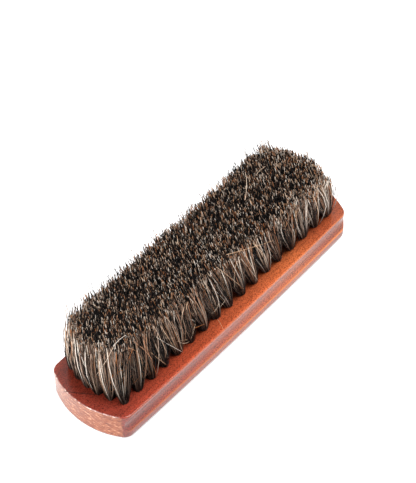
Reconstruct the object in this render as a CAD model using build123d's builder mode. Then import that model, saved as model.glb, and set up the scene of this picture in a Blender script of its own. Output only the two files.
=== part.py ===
"""A shoe shine brush, lying on its back with the bristles up.

A lacquered hardwood block with a finger groove along each long side carries rows of horsehair tufts.
Each tuft is a bundle of hair folded in half over a short piece of flat steel wire, the anchor. Both are
driven into a blind hole bored in the block's face, and the anchor's two ends bite into the hole's wall.

The origin is the middle of the block's flat back. +X runs along the brush, +Y across it, and +Z is
the way the bristles point. Lengths are in millimetres.
"""

from math import asin, copysign, degrees, sqrt
from random import Random
import os

from build123d import *

# Wooden block
BLOCK_LENGTH = 170.0
BLOCK_WIDTH = 47.0
BLOCK_THICKNESS = 16.5
END_BOW = 6.8  # how far each end bulges past its corners
SIDE_BOW = 0.9  # how far each long side bulges past its corners
CORNER_RADIUS = 5.6
FACE_EDGE_RADIUS = 0.6
BACK_EDGE_RADIUS = 3.0

# Finger groove, a shallow cove along each long side
GROOVE_DEPTH = 1.5
GROOVE_WIDTH = 8.6
GROOVE_LIP = 2.0  # side wall left between the bristle face and the groove

# Tuft holes
TUFT_ROWS = 17  # rows across the brush, one behind another
TUFTS_PER_ROW = 6
END_MARGIN = 9.8  # from a bowed end to the middle of the nearest holes
SIDE_MARGIN = 7.9  # the same from the widest part of a long side
HOLE_DIAMETER = 3.6
HOLE_DEPTH = 10.0

# Anchors, cut from flat steel wire and turned away from the grain, so that they don't split the wood
ANCHOR_BITE = 0.5  # how far each end enters the hole's wall
ANCHOR_THICKNESS = 0.45
ANCHOR_HEIGHT = 1.8
ANCHOR_TURN = 45.0

# Hair
HAIR_LENGTH = 30.5  # from the wood to the tips in the middle of the brush
FOLD_THICKNESS = 1.2  # hair that passes under the anchor
FOLD_RADIUS = 0.9
KNOT_CLEARANCE = 0.05  # between the knot of hair and the hole's wall
KNOT_PROUD = 0.4  # the knot swells a little above the wood
EDGE_DROP = 1.5  # how much shorter the hair is worn round the edge
TIP_UNEVENNESS = 0.7
LEAN_ENDWAYS = 6.5  # the most that tips lean towards the -X end
LEAN_PEAK_SHARE = 0.2  # where along the brush, as a share of its half length, they lean most
LEAN_INWARDS = 1.2  # how far the -Y side's tips lean towards the middle at the +X end
LEAN_INWARDS_MORE = 5.5  # how much more at the -X end
END_DRAW = 3.0  # how far each end's tips are drawn in
CORNER_DRAW = 3.8  # how much more at the three worn corners

# Strands, each standing for a lock of hair
STRANDS_ALONG = 2
STRANDS_ACROSS = 2
STRAND_ROOT_GAP = 0.15
STRAND_ROOT_DEPTH = 1.0  # how far a strand runs down into its knot
STRAND_TIP_GAP = 1.2
TIP_WANDER = 0.15
SWELL_HEIGHT_SHARE = 0.35  # a height, as a share of the hair, below which a tuft opens out faster
SWELL_SPREAD_SHARE = 0.45  # how far it has opened there

half_length = BLOCK_LENGTH / 2
half_width = BLOCK_WIDTH / 2
corner_x = half_length - END_BOW
corner_y = half_width - SIDE_BOW
end_radius = (corner_y**2 + END_BOW**2) / (2 * END_BOW)
side_radius = (corner_x**2 + SIDE_BOW**2) / (2 * SIDE_BOW)
hole_radius = HOLE_DIAMETER / 2
knot_radius = hole_radius - KNOT_CLEARANCE
knot_square = knot_radius * sqrt(2)  # the side of the largest square on the knot's end
hole_floor = BLOCK_THICKNESS - HOLE_DEPTH
anchor_middle = hole_floor + FOLD_THICKNESS + ANCHOR_HEIGHT / 2
anchor_length = HOLE_DIAMETER + 2 * ANCHOR_BITE
anchor_box = (anchor_length, ANCHOR_THICKNESS, ANCHOR_HEIGHT)
column_pitch = (BLOCK_WIDTH - 2 * SIDE_MARGIN) / (TUFTS_PER_ROW - 1)


def end_reach(y):
    """How far from the middle the first and last holes of the column at y stand."""
    return half_length - end_radius + sqrt(end_radius**2 - y**2) - END_MARGIN


def row_of_places(row):
    """The middles of one row's holes, from -Y to +Y. The rows bow with the ends."""
    along_share = 2 * row / (TUFT_ROWS - 1) - 1
    columns = [column_pitch * (column - (TUFTS_PER_ROW - 1) / 2) for column in range(TUFTS_PER_ROW)]
    return [(end_reach(y) * along_share, y) for y in columns]


places = [row_of_places(row) for row in range(TUFT_ROWS)]
field_half_length = end_reach(0)
field_half_width = half_width - SIDE_MARGIN
row_pitch = 2 * field_half_length / (TUFT_ROWS - 1)
root_pitches = (knot_square / STRANDS_ALONG, knot_square / STRANDS_ACROSS)
tip_pitches = (row_pitch / STRANDS_ALONG, column_pitch / STRANDS_ACROSS)
CORNER_TURNS = ((-1, -1), (1, -1), (1, 1), (-1, 1))  # the ways to a cell's corners, in order round it
strand_count = TUFT_ROWS * TUFTS_PER_ROW * STRANDS_ALONG * STRANDS_ACROSS

# The block: bowed ends and sides, rounded edges, a groove along each side and a blind hole for each tuft
with BuildPart() as block:
    with BuildSketch() as outline:
        with BuildLine():
            ThreePointArc((corner_x, -corner_y), (half_length, 0), (corner_x, corner_y))
            ThreePointArc((corner_x, corner_y), (0, half_width), (-corner_x, corner_y))
            ThreePointArc((-corner_x, corner_y), (-half_length, 0), (-corner_x, -corner_y))
            ThreePointArc((-corner_x, -corner_y), (0, -half_width), (corner_x, -corner_y))
        make_face()
        fillet(outline.vertices(), CORNER_RADIUS)
    extrude(amount=BLOCK_THICKNESS)
    fillet(block.faces().sort_by(Axis.Z)[0].edges(), BACK_EDGE_RADIUS)
    fillet(block.faces().sort_by(Axis.Z)[-1].edges(), FACE_EDGE_RADIUS)

    groove_radius = (GROOVE_WIDTH**2 / 4 + GROOVE_DEPTH**2) / (2 * GROOVE_DEPTH)
    groove_middle = BLOCK_THICKNESS - GROOVE_LIP - GROOVE_WIDTH / 2
    groove_line = half_width + groove_radius - GROOVE_DEPTH  # where the cutter's middle runs
    groove_path_radius = side_radius + groove_line - half_width
    groove_turn = degrees(asin(half_length / groove_path_radius))
    for side in (1, -1):
        with BuildLine(Plane.XY.offset(groove_middle)):
            path = CenterArc(
                (0, side * (groove_line - groove_path_radius)),
                groove_path_radius,
                side * 90 - groove_turn,
                2 * groove_turn,
            )
        with BuildSketch(Plane(origin=path @ 0, z_dir=path % 0)):
            Circle(groove_radius)
        sweep(path=path, mode=Mode.SUBTRACT)

    with Locations(*[(x, y, BLOCK_THICKNESS) for row in places for x, y in row]):
        Hole(hole_radius, depth=HOLE_DEPTH)
    with Locations(*[(x, y, anchor_middle) for row in places for x, y in row]):
        Box(*anchor_box, rotation=(0, 0, ANCHOR_TURN), mode=Mode.SUBTRACT)

block.part.label = "block"


def tip_of(x, y):
    """Where hair that would end over x, y has its tip: leaning, drawn in and worn."""
    along = x / field_half_length
    across = y / field_half_width
    lean = 1 - ((along - LEAN_PEAK_SHARE) / (1 + LEAN_PEAK_SHARE)) ** 2
    inwards = LEAN_INWARDS + LEAN_INWARDS_MORE * (1 - along) / 2
    corner_draw = 0 if along > 0 > across else CORNER_DRAW
    draw = copysign((END_DRAW + corner_draw * across**2) * along**4, along)
    drop = EDGE_DROP * max(abs(along), abs(across)) ** 4
    return Vector(
        x - LEAN_ENDWAYS * lean - draw,
        y + inwards * (1 - across) / 2,
        BLOCK_THICKNESS + HAIR_LENGTH - drop,
    )


def cell(x, y, along, across, pitches, gap):
    """The corners of one strand's share of the tuft at x, y, which is split into cells at the pitches.

    along and across count the cell's place in the tuft, in steps from the tuft's middle.
    """
    middle = Vector(x + along * pitches[0], y + across * pitches[1])
    reach_x, reach_y = ((pitch - gap) / 2 for pitch in pitches)
    return [middle + Vector(reach_x * turn_x, reach_y * turn_y) for turn_x, turn_y in CORNER_TURNS]


def strand(x, y, along, across, number):
    """One lock: a four-sided loft that leaves its knot upright, opens out and leans to its tip."""
    dice = Random(number)
    wander = Vector(dice.uniform(-TIP_WANDER, TIP_WANDER), dice.uniform(-TIP_WANDER, TIP_WANDER))
    roots = cell(x, y, along, across, root_pitches, STRAND_ROOT_GAP)
    grown = cell(x, y, along, across, tip_pitches, STRAND_TIP_GAP)
    tips = [tip_of(corner.X, corner.Y) + wander for corner in grown]
    neck_height = BLOCK_THICKNESS + KNOT_PROUD
    tip_height = sum(tip.Z for tip in tips) / len(tips) - dice.uniform(0, TIP_UNEVENNESS)
    swell_height = neck_height + (tip_height - neck_height) * SWELL_HEIGHT_SHARE
    sections = (
        (neck_height - STRAND_ROOT_DEPTH, 0),
        (neck_height, 0),
        (swell_height, SWELL_SPREAD_SHARE),
        (tip_height, 1),
    )
    with BuildPart() as lock:
        for height, spread in sections:
            corners = [root + (tip - root) * spread for root, tip in zip(roots, tips)]
            with BuildSketch(Plane.XY.offset(height)):
                with BuildLine():
                    Polyline(*[(corner.X, corner.Y) for corner in corners], close=True)
                make_face()
        loft(ruled=True)
    return lock.part


def tuft_row(row):
    """One row of tufts: in each hole a knot folded under its anchor, with its strands."""
    strands = []
    for x, y in places[row]:
        for along in range(STRANDS_ALONG):
            for across in range(STRANDS_ACROSS):
                number = row * strand_count + len(strands)
                step_along = along - (STRANDS_ALONG - 1) / 2
                step_across = across - (STRANDS_ACROSS - 1) / 2
                strands.append(strand(x, y, step_along, step_across, number))
    with BuildPart() as tufts:
        with Locations(*[(x, y, hole_floor) for x, y in places[row]]):
            Cylinder(knot_radius, HOLE_DEPTH + KNOT_PROUD, align=(Align.CENTER, Align.CENTER, Align.MIN))
        fillet(tufts.edges().group_by(Axis.Z)[0], FOLD_RADIUS)
        with Locations(*[(x, y, anchor_middle) for x, y in places[row]]):
            Box(*anchor_box, rotation=(0, 0, ANCHOR_TURN), mode=Mode.SUBTRACT)
        add(strands)
    return tufts.part


def anchor_row(row):
    """One row's anchors, a piece of flat wire across each hole, above the fold of its tuft."""
    with BuildPart() as anchors:
        with Locations(*[(x, y, anchor_middle) for x, y in places[row]]):
            Box(*anchor_box, rotation=(0, 0, ANCHOR_TURN))
    return anchors.part


os.makedirs("parts", exist_ok=True)
export_step(block.part, "parts/block.step")
for row in range(TUFT_ROWS):
    tufts = tuft_row(row)
    tufts.label = f"tuft_row_{row + 1:02d}"
    export_step(tufts, f"parts/{tufts.label}.step")
    anchors = anchor_row(row)
    anchors.label = f"anchor_row_{row + 1:02d}"
    export_step(anchors, f"parts/{anchors.label}.step")
print("strands:", strand_count)
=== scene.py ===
from math import atan2, cos, pi, radians, sin, sqrt

import bpy
from mathutils import Matrix, Vector
import numpy as np


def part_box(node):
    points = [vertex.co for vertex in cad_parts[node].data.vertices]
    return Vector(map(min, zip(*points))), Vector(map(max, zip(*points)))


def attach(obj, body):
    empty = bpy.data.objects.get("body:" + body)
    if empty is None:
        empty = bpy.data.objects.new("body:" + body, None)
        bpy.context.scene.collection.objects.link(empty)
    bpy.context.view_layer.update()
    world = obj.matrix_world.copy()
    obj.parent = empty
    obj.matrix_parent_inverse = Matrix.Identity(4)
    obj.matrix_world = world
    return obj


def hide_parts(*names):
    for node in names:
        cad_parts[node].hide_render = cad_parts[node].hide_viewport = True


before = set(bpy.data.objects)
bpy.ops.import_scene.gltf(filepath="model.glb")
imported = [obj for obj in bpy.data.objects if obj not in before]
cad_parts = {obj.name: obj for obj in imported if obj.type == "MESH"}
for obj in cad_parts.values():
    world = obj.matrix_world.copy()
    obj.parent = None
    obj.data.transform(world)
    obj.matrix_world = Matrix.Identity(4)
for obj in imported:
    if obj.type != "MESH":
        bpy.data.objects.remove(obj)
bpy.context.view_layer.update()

MM = 0.001

# The block is one piece of beech, moulded to a bowed oblong with a finger groove along each long side,
# then bored for the tufts, stained red-brown and sprayed with gloss lacquer. It stands on its flat back.
END_BOW = 6.8 * MM
SIDE_BOW = 0.9 * MM
CORNER_RADIUS = 5.6 * MM
FACE_EDGE_RADIUS = 0.6 * MM
BACK_EDGE_RADIUS = 3.0 * MM
GROOVE_DEPTH = 1.5 * MM
GROOVE_WIDTH = 8.6 * MM
GROOVE_LIP = 2.0 * MM  # side wall left between the bristle face and the groove
GROOVE_EDGE_SOFTNESS = 0.25 * MM
LEAST_SLANT = 0.2  # keeps the groove's depth in bounds where the outline's normal runs along it
FLAT_BORDER = 0.4 * MM  # a ring of the flat faces kept beside their rounded edges
END_STEPS = 22  # points in a quarter of the outline: on the end, round the corner and on the side
CORNER_STEPS = 22
SIDE_STEPS = 40
EDGE_STEPS = 12  # levels round each edge, and up the wall between them
WALL_STEPS = 60
TURN_NUDGE = 1e-9  # lets a full turn fall together with none

half_length, half_width, face_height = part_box("block")[1]
groove_circle = (GROOVE_WIDTH**2 / 4 + GROOVE_DEPTH**2) / (2 * GROOVE_DEPTH)
groove_middle = face_height - GROOVE_LIP - GROOVE_WIDTH / 2
corner_x, corner_y = half_length - END_BOW, half_width - SIDE_BOW
end_radius = (corner_y**2 + END_BOW**2) / (2 * END_BOW)
side_radius = (corner_x**2 + SIDE_BOW**2) / (2 * SIDE_BOW)
end_centre = half_length - end_radius
side_centre = half_width - side_radius


def round_corner():
    """Centre of the corner's arc: as far inside both bows as its radius, where two circles cross."""
    to_end, to_side = end_radius - CORNER_RADIUS, side_radius - CORNER_RADIUS
    apart = sqrt(end_centre**2 + side_centre**2)
    along = (to_end**2 - to_side**2 + apart**2) / (2 * apart)
    across = sqrt(to_end**2 - along**2)
    toward = np.array([-end_centre, side_centre]) / apart
    square = np.array([-toward[1], toward[0]])
    one = np.array([end_centre, 0]) + along * toward + across * square
    other = np.array([end_centre, 0]) + along * toward - across * square
    return max(one, other, key=lambda place: place[0] + place[1])


corner_centre = round_corner()
end_turn = atan2(corner_centre[1], corner_centre[0] - end_centre)
side_turn = atan2(corner_centre[1] - side_centre, corner_centre[0])


def outline_arcs(turn):
    """Centre and radius of the arc of the plan whose outward normal has the given turn from +X."""
    first_quarter = np.arctan2(abs(np.sin(turn)), abs(np.cos(turn)))
    on_end, on_side = first_quarter < end_turn, first_quarter > side_turn
    x = np.where(on_end, end_centre, np.where(on_side, 0, corner_centre[0])) * np.sign(np.cos(turn))
    y = np.where(on_end, 0, np.where(on_side, side_centre, corner_centre[1])) * np.sign(np.sin(turn))
    radius = np.where(on_end, end_radius, np.where(on_side, side_radius, CORNER_RADIUS))
    return x, y, radius


def groove_inset(turn, height):
    """How deep the groove is, along the outline's normal.

    The cutter is a ring whose section is a circle. Its inner wall stands at the ring's radius less the
    square root of the circle's radius squared less the height above its middle squared. The depth past
    that wall is softened to half of itself plus the root of its square plus the softness squared.
    """
    ring = side_radius + groove_circle - GROOVE_DEPTH
    wall = ring - np.sqrt(np.maximum(groove_circle**2 - (height - groove_middle) ** 2, 0))
    x, y, radius = outline_arcs(turn)
    point_x = x + radius * np.cos(turn)
    point_y = abs(y + radius * np.sin(turn)) - side_centre
    distance = np.hypot(point_x, point_y)
    slant = (point_x * np.cos(turn) + point_y * abs(np.sin(turn))) / distance
    depth = (distance - wall) / np.maximum(slant, LEAST_SLANT)
    depth = np.where(abs(height - groove_middle) < groove_circle, depth, -GROOVE_DEPTH)
    return (depth + np.sqrt(depth**2 + GROOVE_EDGE_SOFTNESS**2)) / 2


quarter = np.concatenate(
    [
        np.linspace(0, end_turn, END_STEPS, endpoint=False),
        np.linspace(end_turn, side_turn, CORNER_STEPS, endpoint=False),
        np.linspace(side_turn, pi / 2, SIDE_STEPS, endpoint=False),
    ]
)
turns = np.concatenate([quarter, pi - quarter[::-1], pi + quarter, 2 * pi - quarter[::-1]])
turns = np.unique(np.mod(turns + TURN_NUDGE, 2 * pi))
rounding = np.linspace(0, pi / 2, EDGE_STEPS)
wall_heights = np.linspace(BACK_EDGE_RADIUS, face_height - FACE_EDGE_RADIUS, WALL_STEPS)
insets = np.concatenate(
    [
        [BACK_EDGE_RADIUS + FLAT_BORDER],
        BACK_EDGE_RADIUS * (1 - np.sin(rounding)),
        np.zeros(len(wall_heights) - 2),
        FACE_EDGE_RADIUS * (1 - np.cos(rounding)),
        [FACE_EDGE_RADIUS + FLAT_BORDER],
    ]
)
heights = np.concatenate(
    [
        [0],
        BACK_EDGE_RADIUS * (1 - np.cos(rounding)),
        wall_heights[1:-1],
        face_height - FACE_EDGE_RADIUS * (1 - np.sin(rounding)),
        [face_height],
    ]
)
# The block is a grid of turns and heights. Each point stands away from its arc's centre, the way of its
# turn, by the arc's radius less the inset of the edges, which are quarter circles, and less the groove.
turn_grid, height_grid = np.meshgrid(turns, heights)
centre_x, centre_y, radius = outline_arcs(turn_grid)
reach = radius - insets[:, None] - groove_inset(turn_grid, height_grid)
block_points = np.stack(
    [centre_x + reach * np.cos(turn_grid), centre_y + reach * np.sin(turn_grid), height_grid], axis=-1
)


def grid_faces(rows, columns):
    """Corner numbers of the quads of a grid whose rows close round on themselves."""
    number = np.arange(rows * columns).reshape(rows, columns)
    right = np.roll(number, -1, axis=1)
    return np.stack([number[:-1], right[:-1], right[1:], number[1:]], axis=-1).reshape(-1, 4)


def make_piece(name, points, faces, material):
    """A mesh object at the origin, from points and a list of arrays of faces with equal corner counts."""
    mesh = bpy.data.meshes.new(name)
    corners = np.concatenate([group.ravel() for group in faces])
    counts = np.concatenate([np.full(len(group), group.shape[1]) for group in faces])
    mesh.vertices.add(len(points))
    mesh.vertices.foreach_set("co", np.asarray(points, dtype=np.float32).ravel())
    mesh.loops.add(len(corners))
    mesh.loops.foreach_set("vertex_index", corners.astype(np.int32))
    mesh.polygons.add(len(counts))
    mesh.polygons.foreach_set("loop_start", (np.cumsum(counts) - counts).astype(np.int32))
    mesh.update(calc_edges=True)
    mesh.validate()
    mesh.shade_smooth()
    mesh.materials.append(material)
    piece = bpy.data.objects.new(name, mesh)
    bpy.context.scene.collection.objects.link(piece)
    return piece


def linear(hex_colour):
    """An sRGB hex colour as linear light: values up to 0.04045 by 12.92, and above that to the power 2.4."""
    values = np.array([int(hex_colour[i : i + 2], 16) / 255 for i in (1, 3, 5)])
    light = np.where(values <= 0.04045, values / 12.92, ((values + 0.055) / 1.055) ** 2.4)
    return (*light.tolist(), 1.0)


def new_material(name):
    """A material with an empty node tree, and that tree."""
    material = bpy.data.materials.new(name)
    material.use_nodes = True
    tree = material.node_tree
    tree.nodes.clear()
    return material, tree


def add_node(tree, kind, inputs=(), stops=(), **settings):
    """Adds a node with its settings, its ramp's stops, and its inputs, each a value or a socket to link."""
    node = tree.nodes.new(kind)
    for name, value in settings.items():
        setattr(node, name, value)
    for name, value in dict(inputs).items():
        if isinstance(value, bpy.types.NodeSocket):
            tree.links.new(value, node.inputs[name])
        else:
            node.inputs[name].default_value = value
    if stops:
        ramp = node.color_ramp
        while len(ramp.elements) < len(stops):
            ramp.elements.new(0.5)
        for element, (place, colour) in zip(ramp.elements, stops):
            element.position = place
            element.color = linear(colour)
    return node


# Stained beech under gloss lacquer: short flecks along the grain, soft streaks of stain, and fibres cut
# across at the ends, where the stain is paler. The stain is thin on the groove's lips, which also carry a
# painted highlight, and chipped along the edges of the ends, with painted white glints there, and a clear
# hard coat mirrors the surroundings at low angles. Painted shade darkens the face beside the hair and the
# sides towards the back, and the stain runs darker at the near end and lighter at the far end, partly as
# painted shade and light.
FLECK_SIZE = (0.7, 0.4, 0.4)  # mm along x, y and z, coarser than beech's own, so that the flecks show
STREAK_SIZE = (40.0, 1.6, 1.6)
FIBRE_SIZE = (2.2, 2.2, 0.45)
FIBRE_SLANT = radians(12)
CHIP_AND_GLINT_LENGTH = 1.2  # mm
CHIP_AND_GLINT_NOISE = (0.54, 0.68)  # the noise at which an edge starts to be chipped and glinting, and is fully so
LEAST_CHIP_AND_GLINT = 0.15  # how chipped an edge is elsewhere, a thin painted highlight along it
STAIN_AND_LIGHT_WAY = (1.0, 0.2, 0.0)  # the way in which the stain and its painted light and shade change, mostly along the brush
HAIR_SHADE_BAND = 19 * MM  # from the middle line, where the painted shade beside the hair starts to lighten
HAIR_SHADE_TONES = (0.74, 1.05)  # what the stain's colour is multiplied by there, and at the face's edge, which is painted lighter
BACK_SHADE_HEIGHT = 7 * MM  # height up to which the sides are painted darker towards the back, as shade
BACK_SHADE_TONE = 0.55  # what the colour is multiplied by at the back
END_FACING = (0.74, 0.9)  # how squarely wood faces along the brush where end grain starts, and is full
LIP_BLUR = 0.5 * MM
LIP_WEAR_AND_HIGHLIGHT = 0.5  # how far the lips are lightened half way along, partly as worn stain and partly as a painted highlight
LIP_WEAR_AND_HIGHLIGHT_MORE = 0.3  # and how much more at the far end, where the painted highlight is brighter


def per_metre(millimetres):
    """Scale at which a noise texture's features, about a unit apart, measure one or more sizes in mm."""
    return 1 / (np.array(millimetres) * MM)


wood, tree = new_material("stained_beech_gloss_lacquer")
texture_place = add_node(tree, "ShaderNodeTexCoord")
place = texture_place.outputs["Object"]
axes = add_node(tree, "ShaderNodeSeparateXYZ", {"Vector": place})
fleck_place = add_node(
    tree,
    "ShaderNodeMapping",
    {"Vector": place, "Scale": per_metre(FLECK_SIZE)},
)
flecks = add_node(
    tree,
    "ShaderNodeTexNoise",
    {"Vector": fleck_place.outputs[0], "Scale": 1.0, "Detail": 2.0},
)
streak_place = add_node(
    tree,
    "ShaderNodeMapping",
    {"Vector": place, "Scale": per_metre(STREAK_SIZE)},
)
streaks = add_node(
    tree,
    "ShaderNodeTexNoise",
    {"Vector": streak_place.outputs[0], "Scale": 1.0, "Detail": 3.0},
)
# Partly painted light: the stain runs from darker red at the near end, partly painted shade, to brighter
# orange at the far end, partly painted light.
along_stain_and_light = add_node(tree, "ShaderNodeVectorMath", {0: place, 1: STAIN_AND_LIGHT_WAY}, operation="DOT_PRODUCT")
uneven_stain_and_light = add_node(
    tree,
    "ShaderNodeMapRange",
    {"Value": along_stain_and_light.outputs["Value"], "From Min": -half_length, "From Max": half_length},
)
stain_and_painted_light = add_node(
    tree,
    "ShaderNodeValToRGB",
    {"Fac": uneven_stain_and_light.outputs["Result"]},
    stops=[
        (0.0, "#a23e2e"),
        (0.12, "#aa432d"),
        (0.25, "#bc4d2f"),
        (0.5, "#d0633a"),
        (0.72, "#da713f"),
        (0.84, "#c45d37"),
        (1.0, "#bc582c"),
    ],
)
from_middle = add_node(tree, "ShaderNodeMath", {0: axes.outputs["Y"]}, operation="ABSOLUTE")
# Painted shade: the face is darker beside the hair, which shades it, and painted a little lighter at its
# outer edge.
painted_shade_beside_hair = add_node(
    tree,
    "ShaderNodeMapRange",
    {
        "Value": from_middle.outputs[0],
        "From Min": HAIR_SHADE_BAND,
        "From Max": half_width - FACE_EDGE_RADIUS,
        "To Min": HAIR_SHADE_TONES[0],
        "To Max": HAIR_SHADE_TONES[1],
    },
)
# Painted shade: the stain is darker low on the sides, towards the back, where the table shades them.
painted_shade_near_back = add_node(
    tree,
    "ShaderNodeMapRange",
    {"Value": axes.outputs["Z"], "From Min": 0, "From Max": BACK_SHADE_HEIGHT, "To Min": BACK_SHADE_TONE, "To Max": 1.0},
)
# Both painted shades multiply the stain's colour.
painted_shading = add_node(
    tree,
    "ShaderNodeMath",
    {0: painted_shade_beside_hair.outputs["Result"], 1: painted_shade_near_back.outputs["Result"]},
    operation="MULTIPLY",
)
shaded_stain = add_node(
    tree,
    "ShaderNodeVectorMath",
    {"Vector": stain_and_painted_light.outputs["Color"], "Scale": painted_shading.outputs[0]},
    operation="SCALE",
)
streak_mask = add_node(
    tree,
    "ShaderNodeValToRGB",
    {"Fac": streaks.outputs["Fac"]},
    stops=[(0.3, "#dadada"), (0.5, "#f2f2f2"), (0.75, "#ffffff")],
)
streaked = add_node(
    tree,
    "ShaderNodeMix",
    {"Factor": 1.0, "A": shaded_stain.outputs["Vector"], "B": streak_mask.outputs["Color"]},
    data_type="RGBA",
    blend_type="MULTIPLY",
)
fleck_mask = add_node(
    tree,
    "ShaderNodeValToRGB",
    {"Fac": flecks.outputs["Fac"]},
    stops=[(0.34, "#909090"), (0.5, "#e8e8e8"), (0.64, "#ffffff")],
)
flecked = add_node(
    tree,
    "ShaderNodeMix",
    {"Factor": 1.0, "A": streaked.outputs["Result"], "B": fleck_mask.outputs["Color"]},
    data_type="RGBA",
    blend_type="MULTIPLY",
)
# Partly painted highlight: the bright orange line along the lips is partly thinner stain and partly a painted
# highlight, brighter towards the far end.
lip = add_node(tree, "ShaderNodeAttribute", attribute_name="lip")
thin_stain_and_highlight = add_node(
    tree,
    "ShaderNodeMix",
    {"Factor": lip.outputs["Fac"], "A": flecked.outputs["Result"], "B": linear("#f0883c")},
    data_type="RGBA",
)
fibre_place = add_node(
    tree,
    "ShaderNodeMapping",
    {"Vector": place, "Scale": per_metre(FIBRE_SIZE), "Rotation": (FIBRE_SLANT, 0, 0)},
)
fibres = add_node(
    tree,
    "ShaderNodeTexNoise",
    {"Vector": fibre_place.outputs[0], "Scale": 1.0, "Detail": 3.0},
)
cut_fibres = add_node(
    tree,
    "ShaderNodeValToRGB",
    {"Fac": fibres.outputs["Fac"]},
    stops=[(0.3, "#5a2615"), (0.42, "#884225"), (0.56, "#a15631"), (0.7, "#da9e77")],
)
facing = add_node(tree, "ShaderNodeSeparateXYZ", {"Vector": texture_place.outputs["Normal"]})
endways = add_node(tree, "ShaderNodeMath", {0: facing.outputs["X"]}, operation="ABSOLUTE")
end_grain = add_node(
    tree,
    "ShaderNodeMapRange",
    {"Value": endways.outputs[0], "From Min": END_FACING[0], "From Max": END_FACING[1]},
    interpolation_type="SMOOTHSTEP",
)
stained = add_node(
    tree,
    "ShaderNodeMix",
    {
        "Factor": end_grain.outputs["Result"],
        "A": thin_stain_and_highlight.outputs["Result"],
        "B": cut_fibres.outputs["Color"],
    },
    data_type="RGBA",
)
# Painted glints: the near-white marks on the ends' top edges are partly chipped lacquer and partly painted
# highlights, over a thin painted highlight along the whole edge.
arris = add_node(tree, "ShaderNodeAttribute", attribute_name="arris")
chip_and_glint_places = add_node(
    tree,
    "ShaderNodeTexNoise",
    {"Vector": place, "Scale": per_metre(CHIP_AND_GLINT_LENGTH), "Detail": 1.0},
)
chip_and_glint_share = add_node(
    tree,
    "ShaderNodeMapRange",
    {
        "Value": chip_and_glint_places.outputs["Fac"],
        "From Min": CHIP_AND_GLINT_NOISE[0],
        "From Max": CHIP_AND_GLINT_NOISE[1],
        "To Min": LEAST_CHIP_AND_GLINT,
    },
)
chips_and_glints = add_node(
    tree,
    "ShaderNodeMath",
    {0: chip_and_glint_share.outputs["Result"], 1: arris.outputs["Fac"]},
    operation="MULTIPLY",
)
surface_colour = add_node(
    tree,
    "ShaderNodeMix",
    {"Factor": chips_and_glints.outputs[0], "A": stained.outputs["Result"], "B": linear("#f6ddd0")},
    data_type="RGBA",
)
surface = add_node(
    tree,
    "ShaderNodeBsdfPrincipled",
    {
        "Base Color": surface_colour.outputs["Result"],
        "Roughness": 0.45,
        "Specular IOR Level": 0.1,
        "Coat Weight": 0.8,
        "Coat Roughness": 0.12,
        "Coat IOR": 1.5,
    },
)
add_node(tree, "ShaderNodeOutputMaterial", {"Surface": surface.outputs[0]})


def add_attribute(piece, name, values):
    """Gives each vertex of the piece a number."""
    attribute = piece.data.attributes.new(name, "FLOAT", "POINT")
    attribute.data.foreach_set("value", np.asarray(values, dtype=np.float32))


rows, columns = turn_grid.shape
back_face = np.arange(columns)[None, ::-1]
bristle_face = np.arange(columns)[None] + (rows - 1) * columns
block = make_piece(
    "wooden_block",
    block_points.reshape(-1, 3),
    [grid_faces(rows, columns), back_face, bristle_face],
    wood,
)
# The lips' wear and painted highlight is a bell curve across the groove's lower lip, and on the face's edge
# a parabola that is nought at both its ends and one half way up it.
groove_share = groove_inset(turn_grid, groove_middle) / GROOVE_DEPTH
lower_lip = np.exp(-(((height_grid - groove_middle + GROOVE_WIDTH / 2) / LIP_BLUR) ** 2))
up_edge = np.clip((height_grid - face_height) / FACE_EDGE_RADIUS + 1, 0, 1)
face_edge = 4 * up_edge * (1 - up_edge)
lip_wear_and_highlight = LIP_WEAR_AND_HIGHLIGHT + LIP_WEAR_AND_HIGHLIGHT_MORE * block_points[..., 0] / half_length
add_attribute(block, "lip", (lip_wear_and_highlight * groove_share * (lower_lip + face_edge / 2)).ravel())
# The arris marks where the chips and painted glints go.
on_end = abs(np.cos(turn_grid)) > cos(end_turn)
add_attribute(block, "arris", (face_edge * on_end).ravel())
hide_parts("block")
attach(block, "root")

# The tufts' holes are bored in rows that bow with the block's ends. Each is filled by one tuft, which
# hides it, so the block is drawn without holes, and only their places are worked out here.
TUFT_ROWS = 17
TUFTS_PER_ROW = 6
END_MARGIN = 9.8 * MM  # from a bowed end to the middle of the nearest holes
SIDE_MARGIN = 7.9 * MM  # the same from the widest part of a long side

column_places = np.linspace(-1, 1, TUFTS_PER_ROW) * (half_width - SIDE_MARGIN)
end_reaches = end_centre + np.sqrt(end_radius**2 - column_places**2) - END_MARGIN
field_half_length = half_length - END_MARGIN
field_half_width = half_width - SIDE_MARGIN
row_pitch = 2 * field_half_length / (TUFT_ROWS - 1)
column_pitch = 2 * field_half_width / (TUFTS_PER_ROW - 1)

# The hair is horsehair, black to blond, in bundles folded over an anchor in their holes. It was trimmed
# flat, and wear has leaned it towards the near end and frayed its outside. The hairs of a lock stand and
# bend together, but nearly every hair has a shade of its own.
HAIR_LENGTH = 30.5 * MM
HAIR_RADIUS = 0.115 * MM  # more than horsehair's own, so that single hairs show
ROOT_DEPTH = 2.0 * MM  # how far the drawn hairs run down into the wood
ROOT_RADIUS = 1.6 * MM  # of the bundle where it leaves the wood
EDGE_DROP = 1.5 * MM  # how much shorter the hair is worn round the edge
LEAN_ENDWAYS = 6.5 * MM  # the most that tips lean towards the near end
LEAN_PEAK_SHARE = 0.2  # where along the brush, as a share of its half length, they lean most
LEAN_INWARDS = 1.2 * MM  # how far the near side's tips lean towards the middle at the far end
LEAN_INWARDS_MORE = 5.5 * MM  # how much more at the near end
END_DRAW = 3.0 * MM  # how far each end's tips are drawn in
CORNER_DRAW = 3.8 * MM  # how much more at the three worn corners
STATIONS = 5  # points along one hair
FIRST_SEED = 100  # the first row's, and each other row has the next

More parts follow.
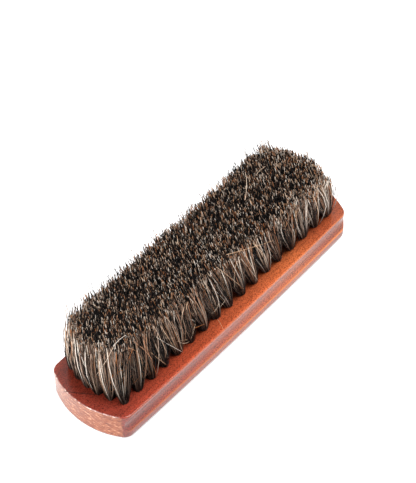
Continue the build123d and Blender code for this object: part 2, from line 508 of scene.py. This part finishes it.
LOCKS = (6, 7)  # along and across one tuft
HAIRS_PER_LOCK = 12
LOCK_MARGINS = (0.1, 0.9)  # where in its own share of the tuft a lock may stand
LOCK_SPREAD = 0.13  # how far its hairs stand from it, in half tufts
TUFT_REACH = (0.54, 0.57)  # how far a tuft opens along and across, in pitches of the tufts


def square_to_disc(places):
    """Squeezes a square of half side one into the unit disc: x times the root of 1 less half y squared."""
    x, y = places[..., 0], places[..., 1]
    return np.stack([x * np.sqrt(1 - y**2 / 2), y * np.sqrt(1 - x**2 / 2)], axis=-1)


WAY_OF_NO_HAIR = [0.9, 0.4, 0.1]  # so that a product with it is a normal to any hair


def hair_tubes(paths, radii, turns):
    """Three-sided tubes along paths of shape (hairs, stations, 3), closed by a triangle at each end.

    Round each point of a path stand the cosine times one normal and the sine times the other.
    """
    hairs, stations = paths.shape[:2]
    ahead = np.gradient(paths, axis=1)
    ahead /= np.linalg.norm(ahead, axis=-1, keepdims=True)
    aside = np.cross(ahead, WAY_OF_NO_HAIR)
    aside /= np.linalg.norm(aside, axis=-1, keepdims=True)
    above = np.cross(ahead, aside)
    corner = (turns[:, None] + np.arange(3) * 2 * pi / 3)[:, None, :, None]
    ring = np.cos(corner) * aside[:, :, None] + np.sin(corner) * above[:, :, None]
    points = paths[:, :, None] + ring * radii[:, :, None, None]
    number = np.arange(hairs * stations * 3).reshape(hairs, stations, 3)
    right = np.roll(number, -1, axis=2)
    walls = np.stack([number[:, :-1], right[:, :-1], right[:, 1:], number[:, 1:]], axis=-1).reshape(-1, 4)
    ends = np.concatenate([number[:, 0, ::-1], number[:, -1]])
    return points.reshape(-1, 3), [walls, ends]


def tips_of(grown):
    """Where hairs that would stand upright at the places grown end: leaning, drawn in and trimmed.

    The lean falls off with the square of the distance from its peak, the draw and the drop grow with the
    fourth power of the share of the way to the edge, and the corners' draw with the square across too.
    """
    along = grown[..., 0] / field_half_length
    across = grown[..., 1] / field_half_width
    lean = 1 - ((along - LEAN_PEAK_SHARE) / (1 + LEAN_PEAK_SHARE)) ** 2
    inwards = LEAN_INWARDS + LEAN_INWARDS_MORE * (1 - along) / 2
    worn_corner = (along < 0) | (across > 0)
    draw = (END_DRAW + CORNER_DRAW * worn_corner * across**2) * along**4 * np.sign(along)
    drop = EDGE_DROP * np.maximum(abs(along), abs(across)) ** 4
    return np.stack(
        [
            grown[..., 0] - LEAN_ENDWAYS * lean - draw,
            grown[..., 1] + inwards * (1 - across) / 2,
            face_height + HAIR_LENGTH - drop,
        ],
        axis=-1,
    )


def places_in_tufts(dice):
    """Where one row's hairs stand in their tufts, from -1 to 1: at their lock, give or take a normal spread.

    The array's axes are the tufts, their locks, the locks' hairs, and along and across.
    """
    cells = np.stack(np.meshgrid(*map(np.arange, LOCKS), indexing="ij"), axis=-1).reshape(1, -1, 2)
    places = cells + dice.uniform(*LOCK_MARGINS, (TUFTS_PER_ROW, cells.shape[1], 2))
    locks = places / LOCKS * 2 - 1
    spread = dice.normal(0, LOCK_SPREAD, (TUFTS_PER_ROW, cells.shape[1], HAIRS_PER_LOCK, 2))
    return np.clip(locks[:, :, None] + spread, -1, 1)


# Shades run from 0, black, to 1, blond. The outside of the hair is paler, partly bleached and partly as
# painted light on its lit sides, most of all at the far end of the near side, and a share of its hairs has
# faded to grey-brown.
LOCK_SHADE_SPREAD = 0.09  # how far a hair's shade stands from its lock's
LONER_SHARE = 0.93  # hairs with a shade of their own
PALE_ALL = 0.89  # power that the darkness of every hair is raised to half way along
PALE_ALL_MORE = 0.05  # what is added to that power at the far end, a painted light that pales the far end
PALE_SIDE = (0.25, 2.4)  # what is added on the near side, at its near and far end
PALE_END = 0.85  # what is added on the ends
PALE_END_SLANT = 0.3  # how much more of that there is towards the far side, as a share
FADED_SHARE = 0.32  # of the hairs outside, half way along
FADED_SHARE_LESS = 0.1  # how many fewer at the far end
FADED_SHADES = (0.865, 0.905)
FADED_SHADE_MORE = 0.006  # what is added half way along, and again at the far end


def natural_shades(dice, shape):
    """Shades of hairs: a few have their lock's, more or less, and the others any shade evenly."""
    of_lock = dice.uniform(0, 1, shape[:2] + (1,)) + dice.normal(0, LOCK_SHADE_SPREAD, shape)
    loners = dice.uniform(0, 1, shape) < LONER_SHARE
    return np.clip(np.where(loners, dice.uniform(0, 1, shape), of_lock), 0, 1)


def weathered_and_lit(shades, dice, share, on_near_side, on_end, outside, far_corner):
    """Shades after bleaching, wear and painted light: the darkness, one less the shade, is raised to a power
    that grows outside.

    The near side's power grows with the cube of the share of the way to the far end, and the far corner
    stays dark. Some of the outside's hairs have faded to grey-brown instead.
    """
    # Partly painted light: outside hairs are paler where the brush's sides and ends are lit, and more so
    # towards the far end.
    pale_side = PALE_SIDE[0] + (PALE_SIDE[1] - PALE_SIDE[0]) * ((1 + share) / 2) ** 3
    pale_end = PALE_END * (1 + PALE_END_SLANT * column_places[:, None, None] / field_half_width)
    pale = np.maximum(pale_side * on_near_side, pale_end * on_end) * (1 - far_corner)
    bleached_and_lit = 1 - (1 - shades) ** (PALE_ALL + PALE_ALL_MORE * share + pale)
    faded = dice.uniform(0, 1, shades.shape) < (FADED_SHARE - FADED_SHARE_LESS * share) * outside
    faded_shades = dice.uniform(*FADED_SHADES, shades.shape) + FADED_SHADE_MORE * (1 + share)
    return np.where(faded, faded_shades, bleached_and_lit)


# Tufts, locks and single hairs wander from where they were trimmed, wear shortens dark hairs more than
# pale ones, and on the far side more hairs have worked their way up and out.
TUFT_WANDER = 0.4 * MM
LOCK_WANDER = 0.65 * MM
HAIR_WANDER = 0.8 * MM
TAME = 0.5  # how far a hair inside the brush wanders, as a share
TAME_OUTSIDE = 0.6  # what is added to that on the outside
WILD = 2.0  # and at most for a hair anywhere
WILD_POWER = 8  # makes that rare
BLACK_WEAR = 4.0 * MM  # how much shorter black hairs are on average
PALE_WEAR_LESS = 3.7 * MM  # how much less of that blond ones have
LOCK_RISE = 0.9 * MM  # how far locks end above the worn surface on average
LOCK_RISE_SPREAD = 0.5 * MM  # the normal spread of that
PROUD_RISE = 1.4 * MM  # how much further some hairs rise on average
PROUD_SHARE = 0.05  # of the hairs
PROUD_SHARE_MORE = 0.2  # on the far side
PROUD_MOST = 2.4 * MM  # the highest that hairs end above the worn surface, but for the lick and wisps
PROUD_MOST_MORE = 0.5  # as a share, on the far side
FAR_SPLAY = 1.3 * MM  # how far the far side's hairs stand outwards on average
FAR_NOTCH = 1.6 * MM  # how far they stand back between two tufts
CORNER_LICK = np.array([5.2, 0.3, 4.6]) * MM  # how far the far corner's outermost hair stands out and up
WISP_SHARE = 0.03  # single long hairs on the far side and end
WISP_RISES = (-0.5 * MM, 3.5 * MM)  # where they end, from the flat trim
WISP_SPLAY = 1.0 * MM  # how much further out the far side's end on average
LOCK_BOW = 0.4 * MM  # how far locks and single hairs bend
HAIR_BOW = 0.7 * MM
END_BULGE = 1.3 * MM  # how far the ends' hairs bulge outwards half way up
OPENING_POWER = 1.15  # how early the tufts open out, where 1 is evenly
THICKNESSES = (0.7, 1.1)  # as shares of HAIR_RADIUS
THICKER_OUTSIDE = 0.2  # how much is added to that outside, and for a blond hair
THICKER_BLOND = 0.45


def trimmed(dice, shades, on_far_side):
    """How far tips end above the worn surface: their lock's rise less their wear, and more for proud hairs.

    Wear and the proud hairs' rise have exponential distributions.
    """
    worn = (BLACK_WEAR - PALE_WEAR_LESS * shades) * dice.exponential(1, shades.shape)
    proud = dice.exponential(PROUD_RISE, shades.shape)
    proud *= dice.uniform(0, 1, shades.shape) < PROUD_SHARE + PROUD_SHARE_MORE * on_far_side
    rise = dice.normal(LOCK_RISE, LOCK_RISE_SPREAD, shades.shape[:2] + (1,))
    return np.minimum(rise - worn + proud, PROUD_MOST * (1 + PROUD_MOST_MORE * on_far_side))


def hair_paths(roots, tips, bow):
    """Curves from roots to tips that open out early and bow aside by half a sine wave.

    They open by one less the power of the share of the height that is left.
    """
    along = np.linspace(0, 1, STATIONS)[:, None]
    spread = 1 - (1 - along) ** OPENING_POWER
    start = np.concatenate([roots, np.full(roots.shape[:-1] + (1,), face_height)], axis=-1)
    mix = np.concatenate([spread, spread, along], axis=-1)
    paths = start[..., None, :] + (tips - start)[..., None, :] * mix
    paths[..., :2] += bow[..., None, :] * np.sin(pi * along)
    paths[..., 0, 2] -= ROOT_DEPTH
    return paths


def row_of_hair(row, dice):
    """Paths, radii and shades of one row's hairs."""
    share = 2 * row / (TUFT_ROWS - 1) - 1
    middles = np.stack([end_reaches * share, column_places], axis=-1)[:, None, None]
    places = places_in_tufts(dice)
    shape = places.shape[:3]
    tuft = np.arange(TUFTS_PER_ROW)[:, None, None]
    on_near_side = np.clip(-places[..., 1], 0, 1) * (tuft == 0)
    on_far_side = np.clip(places[..., 1], 0, 1) * (tuft == TUFTS_PER_ROW - 1)
    on_end = np.clip(places[..., 0] * share, 0, 1) * (abs(share) == 1)
    on_far_end = on_end * (share > 0)
    outside = np.maximum(np.maximum(on_near_side, on_far_side), on_end)
    far_corner = on_far_side * on_far_end
    unruly = TAME + TAME_OUTSIDE * outside[..., None] + WILD * dice.uniform(0, 1, shape + (1,)) ** WILD_POWER
    roots = middles + square_to_disc(places) * ROOT_RADIUS
    tips = tips_of(middles + places * [row_pitch * TUFT_REACH[0], column_pitch * TUFT_REACH[1]])

    shades = natural_shades(dice, shape)
    splay = dice.exponential(FAR_SPLAY, shape) - FAR_NOTCH * places[..., 0] ** 2
    tips[..., 1] += on_far_side * splay
    shades = weathered_and_lit(shades, dice, share, on_near_side, on_end, outside, far_corner)

    tips[..., :2] += dice.normal(0, TUFT_WANDER, (TUFTS_PER_ROW, 1, 1, 2))
    tips[..., :2] += dice.normal(0, LOCK_WANDER, (TUFTS_PER_ROW, shape[1], 1, 2))
    tips[..., :2] += unruly * dice.normal(0, HAIR_WANDER, roots.shape)
    tips[..., 2] += trimmed(dice, shades, on_far_side)
    tips += far_corner[..., None] * CORNER_LICK
    bow = dice.normal(0, LOCK_BOW, (TUFTS_PER_ROW, shape[1], 1, 2))
    bow = bow + unruly * dice.normal(0, HAIR_BOW, roots.shape)
    bow[..., 0] += END_BULGE * share * on_end
    thickness = dice.uniform(*THICKNESSES, shape) + THICKER_OUTSIDE * outside + THICKER_BLOND * shades**4

    wisps = dice.uniform(0, 1, shape) < WISP_SHARE * np.maximum(on_far_side, on_far_end)
    wisp_heights = face_height + HAIR_LENGTH + dice.uniform(*WISP_RISES, shape)
    tips[..., 2] = np.where(wisps, wisp_heights, tips[..., 2])
    tips[..., 1] += wisps * on_far_side * dice.exponential(WISP_SPLAY, shape)
    paths = hair_paths(roots, tips, bow).reshape(-1, STATIONS, 3)
    return paths, HAIR_RADIUS * thickness.reshape(-1, 1) * np.ones(STATIONS), shades.ravel()


# Washed, undyed horsehair: dull black, with brown, faded and blond hairs among it. It is painted darker at
# the roots, as the shade where little light reaches, and is darker at the cut tips. It has next to no gloss
# after years of polish.
hair, tree = new_material("natural_horsehair")
shade = add_node(tree, "ShaderNodeAttribute", attribute_name="shade")
along = add_node(tree, "ShaderNodeAttribute", attribute_name="along")
natural = add_node(
    tree,
    "ShaderNodeValToRGB",
    {"Fac": shade.outputs["Fac"]},
    stops=[
        (0.0, "#050505"),
        (0.7, "#090808"),
        (0.82, "#2b1f1b"),
        (0.87, "#5e463a"),
        (0.89, "#b8a08e"),
        (0.915, "#b46c3a"),
        (0.945, "#e2ba96"),
        (1.0, "#fff3e6"),
    ],
)
# Painted shade at the roots, and darker cut tips.
root_shade = add_node(
    tree,
    "ShaderNodeValToRGB",
    {"Fac": along.outputs["Fac"]},
    stops=[
        (0.0, "#484848"),
        (0.12, "#808080"),
        (0.35, "#dcdcdc"),
        (0.6, "#ffffff"),
        (0.86, "#ffffff"),
        (1.0, "#b8b8b8"),
    ],
)
rooted = add_node(
    tree,
    "ShaderNodeMix",
    {"Factor": 1.0, "A": natural.outputs["Color"], "B": root_shade.outputs["Color"]},
    data_type="RGBA",
    blend_type="MULTIPLY",
)
surface = add_node(
    tree,
    "ShaderNodeBsdfPrincipled",
    {"Base Color": rooted.outputs["Result"], "Roughness": 0.5, "Specular IOR Level": 0.1},
)
add_node(tree, "ShaderNodeOutputMaterial", {"Surface": surface.outputs[0]})

for row in range(TUFT_ROWS):
    dice = np.random.default_rng(FIRST_SEED + row)
    paths, radii, shades = row_of_hair(row, dice)
    points, faces = hair_tubes(paths, radii, dice.uniform(0, 2 * pi, len(paths)))
    piece = make_piece(f"hair_row_{row + 1:02d}", points, faces, hair)
    add_attribute(piece, "shade", np.repeat(shades, STATIONS * 3))
    add_attribute(piece, "along", np.tile(np.repeat(np.linspace(0, 1, STATIONS), 3), len(paths)))
    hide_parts(f"tuft_row_{row + 1:02d}")
    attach(piece, "root")

# A few hairs have come loose from their tufts and lie across the rest, most of them pale and curled. Those
# that catch the eye are placed by the points that they pass, the others thrown round the outside.
PLACED_STRAYS = [  # three points in mm, and the shade
    ([(1.2, -13.4, 48.4), (14.2, -17.5, 44.7), (28.7, -18.5, 37.6)], 0.94),
    ([(-69.9, -9.4, 48.8), (-65.8, -9.2, 49.2), (-61.8, -9.5, 48.8)], 1.0),
    ([(-69.9, -9.4, 48.6), (-74.2, -9.0, 43.5), (-77.3, -5.0, 32.7)], 0.97),
    ([(-64.8, -13.4, 45.9), (-60.0, -15.5, 36.9), (-61.4, -17.1, 24.9)], 0.93),
    ([(-48.9, -15.2, 39.5), (-44.0, -16.8, 31.4), (-35.9, -18.2, 18.6)], 1.0),
    ([(-49.2, -14.2, 46.7), (-46.6, -16.0, 35.1), (-44.7, -17.7, 22.5)], 0.96),
    ([(-42.1, -15.0, 46.8), (-38.8, -16.3, 36.3), (-35.8, -18.1, 19.2)], 0.96),
    ([(-70.4, -14.3, 36.7), (-73.8, -10.7, 32.7), (-76.5, -7.5, 24.8)], 0.915),
    ([(-70.7, -11.4, 46.2), (-72.3, -11.5, 37.9), (-76.4, -9.1, 21.7)], 0.915),
    ([(-56.2, -14.4, 43.3), (-54.6, -16.2, 31.1), (-53.1, -18.1, 17.7)], 0.92),
    ([(-53.8, -15.8, 34.3), (-50.7, -16.9, 27.7), (-47.0, -17.9, 20.6)], 0.94),
    ([(-7.0, -14.7, 48.2), (-1.3, -17.2, 38.2), (7.4, -18.0, 22.4)], 0.95),
    ([(4.9, -16.9, 43.4), (2.3, -17.3, 38.4), (1.5, -17.7, 29.0)], 0.96),
    ([(7.0, -17.0, 43.0), (11.8, -17.5, 32.8), (17.8, -18.2, 18.7)], 0.98),
    ([(61.8, -17.8, 46.0), (58.2, -18.0, 42.4), (54.8, -18.1, 41.0)], 0.95),
    ([(64.1, -18.1, 36.1), (58.1, -18.3, 33.4), (55.0, -18.2, 26.5)], 0.98),
    ([(47.3, 6.9, 48.5), (50.9, 7.5, 48.7), (54.4, 7.3, 48.4)], 0.96),
    ([(46.0, 12.5, 48.2), (40.1, 6.7, 48.6), (32.4, 1.3, 48.2)], 0.97),
    ([(-26.5, -17.6, 26.2), (-23.4, -17.8, 24.7), (-20.1, -17.9, 23.2)], 0.915),
    ([(63.5, 13.6, 45.9), (66.4, 16.8, 47.8), (68.4, 19.6, 48.9)], 0.8),
    ([(64.1, 12.9, 45.9), (67.0, 15.3, 47.8), (68.3, 17.8, 48.9)], 0.5),
    ([(-84.6, 9.3, 16.6), (-81.5, 3.8, 16.6), (-76.8, -3.3, 16.6)], 0.78),
    ([(-10.4, -16.9, 16.7), (-11.4, -19.8, 16.6), (-13.2, -22.8, 16.6)], 0.93),
]
PLACED_RADIUS = 0.1 * MM
STRAYS = 260
STRAY_SEED = 9
STRAY_RADIUS = 0.08 * MM
STRAY_THICKNESSES = (0.7, 1.5)  # as shares of that radius
STRAY_SHADES = (0.55, 1)
STRAY_TONE = 0.7  # a stray's place between root and tip, which sets how dark it is
STRAY_STATIONS = 9
STRAY_STARTS = (0.05, 0.8)  # how high on the hair a stray starts, as a share
STRAY_CLIMBS = (0.1, 0.5)  # how much higher it ends
STRAY_HIGHEST = 1.02  # and the highest that it may
STRAY_SLANT = 0.02  # how far round the brush it slants, as a share
STRAY_TURNS = (0.2, 0.8)  # how much of its slant it has made half way
STRAY_SINK = 0.3 * MM  # how far its start lies in the hair
STRAY_LOOPS = (0.2 * MM, 1.1 * MM)  # how far its middle stands out
STRAY_SWING = 0.8 * MM  # how far its end stands in or out
AT_EDGE = 0.999  # the share of the way to an edge that counts as on it


def hair_side(round_share, height_share):
    """A point on the outside of the hair, those shares of the way round it and up it, and the way out.

    Four straight sides of the tufts' field, bowed at the ends, lead straight up to the worn tips.
    """
    lengths = np.cumsum([0, field_half_length, field_half_width, field_half_length, field_half_width])
    place = np.mod(round_share, 1) * lengths[-1]
    x, y = np.interp(place, lengths, [-1, 1, 1, -1, -1]), np.interp(place, lengths, [-1, -1, 1, 1, -1])
    end = end_centre + np.sqrt(end_radius**2 - (y * field_half_width) ** 2) - END_MARGIN
    base = np.stack([x * (end + ROOT_RADIUS), y * (field_half_width + ROOT_RADIUS)], axis=-1)
    base = np.concatenate([base, np.full(base.shape[:-1] + (1,), face_height)], axis=-1)
    tip = tips_of(np.stack([x * (end + row_pitch / 2), y * (field_half_width + column_pitch / 2)], axis=-1))
    out = np.stack([x * (abs(x) > AT_EDGE), y * (abs(y) > AT_EDGE), np.zeros_like(x)], axis=-1)
    return base + (tip - base) * height_share[..., None], out


def curve_through(first, middle, last, count):
    """Points of the parabolas that pass the three points at their start, half way and end.

    Each point is weighed by the product of the two factors that are nought at the other two.
    """
    share = np.linspace(0, 1, count)[:, None]
    return (
        first[:, None] * (1 - share) * (1 - 2 * share)
        + middle[:, None] * 4 * share * (1 - share)
        + last[:, None] * share * (2 * share - 1)
    )


dice = np.random.default_rng(STRAY_SEED)
placed = np.array([points for points, shade in PLACED_STRAYS]) * MM
round_shares = dice.uniform(0, 1, STRAYS)
starts = dice.uniform(*STRAY_STARTS, STRAYS)
slants = dice.normal(0, STRAY_SLANT, STRAYS)
climbs = dice.uniform(*STRAY_CLIMBS, STRAYS)
lows = hair_side(round_shares, starts)[0]
mids = hair_side(round_shares + slants * dice.uniform(*STRAY_TURNS, STRAYS), starts + climbs / 2)[0]
highs, outs = hair_side(round_shares + slants, np.minimum(starts + climbs, STRAY_HIGHEST))
mids += dice.uniform(*STRAY_LOOPS, STRAYS)[:, None] * outs
highs += dice.normal(0, STRAY_SWING, STRAYS)[:, None] * outs
thrown = curve_through(lows - STRAY_SINK * outs, mids, highs, STRAY_STATIONS)
paths = np.concatenate([curve_through(*placed.transpose(1, 0, 2), STRAY_STATIONS), thrown])
thrown_radii = STRAY_RADIUS * dice.uniform(*STRAY_THICKNESSES, STRAYS)
radii = np.concatenate([np.full(len(placed), PLACED_RADIUS), thrown_radii])[:, None] * np.ones(STRAY_STATIONS)
shades = np.concatenate([[shade for points, shade in PLACED_STRAYS], dice.uniform(*STRAY_SHADES, STRAYS)])
points, faces = hair_tubes(paths, radii, dice.uniform(0, 2 * pi, len(paths)))
strays = make_piece("stray_hairs", points, faces, hair)
add_attribute(strays, "shade", np.repeat(shades, STRAY_STATIONS * 3))
add_attribute(strays, "along", np.full(len(points), STRAY_TONE))
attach(strays, "root")

# The anchors are bits of flat steel wire, drawn and cut, one across each tuft's fold. They lie sealed in
# the wood, so they keep the solids' shapes and only get the dull shine of their drawn metal.
DRAWING_LINE_WIDTH = 0.15  # mm
wire, tree = new_material("drawn_steel_wire")
place = add_node(tree, "ShaderNodeTexCoord").outputs["Object"]
lines = add_node(
    tree,
    "ShaderNodeTexNoise",
    {"Vector": place, "Scale": per_metre(DRAWING_LINE_WIDTH), "Detail": 2.0},
)
tone = add_node(
    tree,
    "ShaderNodeValToRGB",
    {"Fac": lines.outputs["Fac"]},
    stops=[(0.3, "#8a8a8c"), (0.7, "#b4b4b6")],
)
surface = add_node(
    tree,
    "ShaderNodeBsdfPrincipled",
    {"Base Color": tone.outputs["Color"], "Metallic": 1.0, "Roughness": 0.35},
)
add_node(tree, "ShaderNodeOutputMaterial", {"Surface": surface.outputs[0]})
for row in range(TUFT_ROWS):
    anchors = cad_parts[f"anchor_row_{row + 1:02d}"]
    for material_slot in anchors.material_slots:
        material_slot.material = wire

# The brush lies on a plain white table in soft light from all round. What the lens, the lacquer and
# glass see of the table and the room is white, and what lights the brush is dimmer.
TABLE_HALF = 0.85  # metres
TABLE_GREY = (0.75, 0.75, 0.75, 1)
WHITE = (1, 1, 1, 1)
TABLE_GLOW = 0.6  # added to the table's own light where it is seen, so that it comes out white
ROOM_LIGHT = 0.22  # strength of the room's light on the brush


def seen_ray(tree):
    """A socket that is one for rays from the lens, a mirror or glass, whose shares are added up."""
    ray = add_node(tree, "ShaderNodeLightPath")
    lens_or_mirror = add_node(
        tree,
        "ShaderNodeMath",
        {0: ray.outputs["Is Camera Ray"], 1: ray.outputs["Is Glossy Ray"]},
        operation="ADD",
    )
    seen = add_node(
        tree,
        "ShaderNodeMath",
        {0: lens_or_mirror.outputs[0], 1: ray.outputs["Is Transmission Ray"]},
        operation="ADD",
        use_clamp=True,
    )
    return seen.outputs[0]


table_material, tree = new_material("white_table")
glow = add_node(tree, "ShaderNodeMath", {0: seen_ray(tree), 1: TABLE_GLOW}, operation="MULTIPLY")
matt = add_node(tree, "ShaderNodeBsdfDiffuse", {"Color": TABLE_GREY})
lit = add_node(tree, "ShaderNodeEmission", {"Color": WHITE, "Strength": glow.outputs[0]})
both = add_node(tree, "ShaderNodeAddShader", {0: matt.outputs[0], 1: lit.outputs[0]})
add_node(tree, "ShaderNodeOutputMaterial", {"Surface": both.outputs[0]})
table_points = np.array([(-1, -1, 0), (1, -1, 0), (1, 1, 0), (-1, 1, 0)]) * TABLE_HALF
table = make_piece("table_top", table_points, [np.arange(4)[None]], table_material)

world = bpy.data.worlds.new("soft_room")
bpy.context.scene.world = world
world.use_nodes = True
tree = world.node_tree
tree.nodes.clear()
strength = add_node(
    tree,
    "ShaderNodeMix",
    {"Factor": seen_ray(tree), "A": ROOM_LIGHT, "B": 1.0},
    data_type="FLOAT",
)
sky = add_node(
    tree,
    "ShaderNodeBackground",
    {"Color": WHITE, "Strength": strength.outputs["Result"]},
)
add_node(tree, "ShaderNodeOutputWorld", {"Surface": sky.outputs[0]})

SOFTBOXES = [  # name, place and side in metres, and watts
    ("softbox_above", (0.2, -0.3, 1.3), 0.6, 22),
    ("softbox_left", (-1.2, 0.1, 0.6), 0.8, 20),
]
LIT_HEIGHT = 20 * MM  # the softboxes face the middle of the brush


def add_softbox(name, place, side, power):
    """A square lamp at place, turned to face the brush."""
    lamp = bpy.data.lights.new(name, "AREA")
    lamp.shape = "SQUARE"
    lamp.size = side
    lamp.energy = power
    holder = bpy.data.objects.new(name, lamp)
    holder.location = place
    holder.rotation_mode = "QUATERNION"
    holder.rotation_quaternion = (Vector((0, 0, LIT_HEIGHT)) - Vector(place)).to_track_quat("-Z", "Y")
    bpy.context.scene.collection.objects.link(holder)


for softbox in SOFTBOXES:
    add_softbox(*softbox)

# The camera stands where the photograph was taken from, fitted to the outline of the block in it.
AZIMUTH = radians(-47.9)
ELEVATION = radians(50.47)
DISTANCE = 950 * MM
AIM_RIGHT = 3.04 * MM  # where it looks, from the middle of the block's back
AIM_UP = 32.26 * MM
ROLL = radians(-2.19)
FOCAL_PIXELS = 2028.7
FRAME_HEIGHT_PIXELS = 483
SENSOR = 36.0
LENS_REACH = (0.05, 20)  # metres

back = Vector((sin(AZIMUTH) * cos(ELEVATION), -cos(AZIMUTH) * cos(ELEVATION), sin(ELEVATION)))
right = Vector((cos(AZIMUTH), sin(AZIMUTH), 0))
up = back.cross(right)
eye = back * DISTANCE
aim = right * AIM_RIGHT + up * AIM_UP
lens_axis = (eye - aim).normalized()
level = Vector((0, 0, 1)).cross(lens_axis).normalized()
upright = lens_axis.cross(level)
right = level * cos(ROLL) + upright * sin(ROLL)
up = upright * cos(ROLL) - level * sin(ROLL)
camera_data = bpy.data.cameras.new("camera")
camera_data.sensor_width = SENSOR
camera_data.lens = FOCAL_PIXELS * SENSOR / FRAME_HEIGHT_PIXELS
camera_data.clip_start, camera_data.clip_end = LENS_REACH
camera = bpy.data.objects.new("camera", camera_data)
camera.rotation_mode = "QUATERNION"
camera.location = eye
camera.rotation_quaternion = Matrix((right, up, lens_axis)).transposed().to_quaternion()
bpy.context.scene.collection.objects.link(camera)
bpy.context.scene.camera = camera
bpy.context.scene.view_settings.view_transform = "Standard"
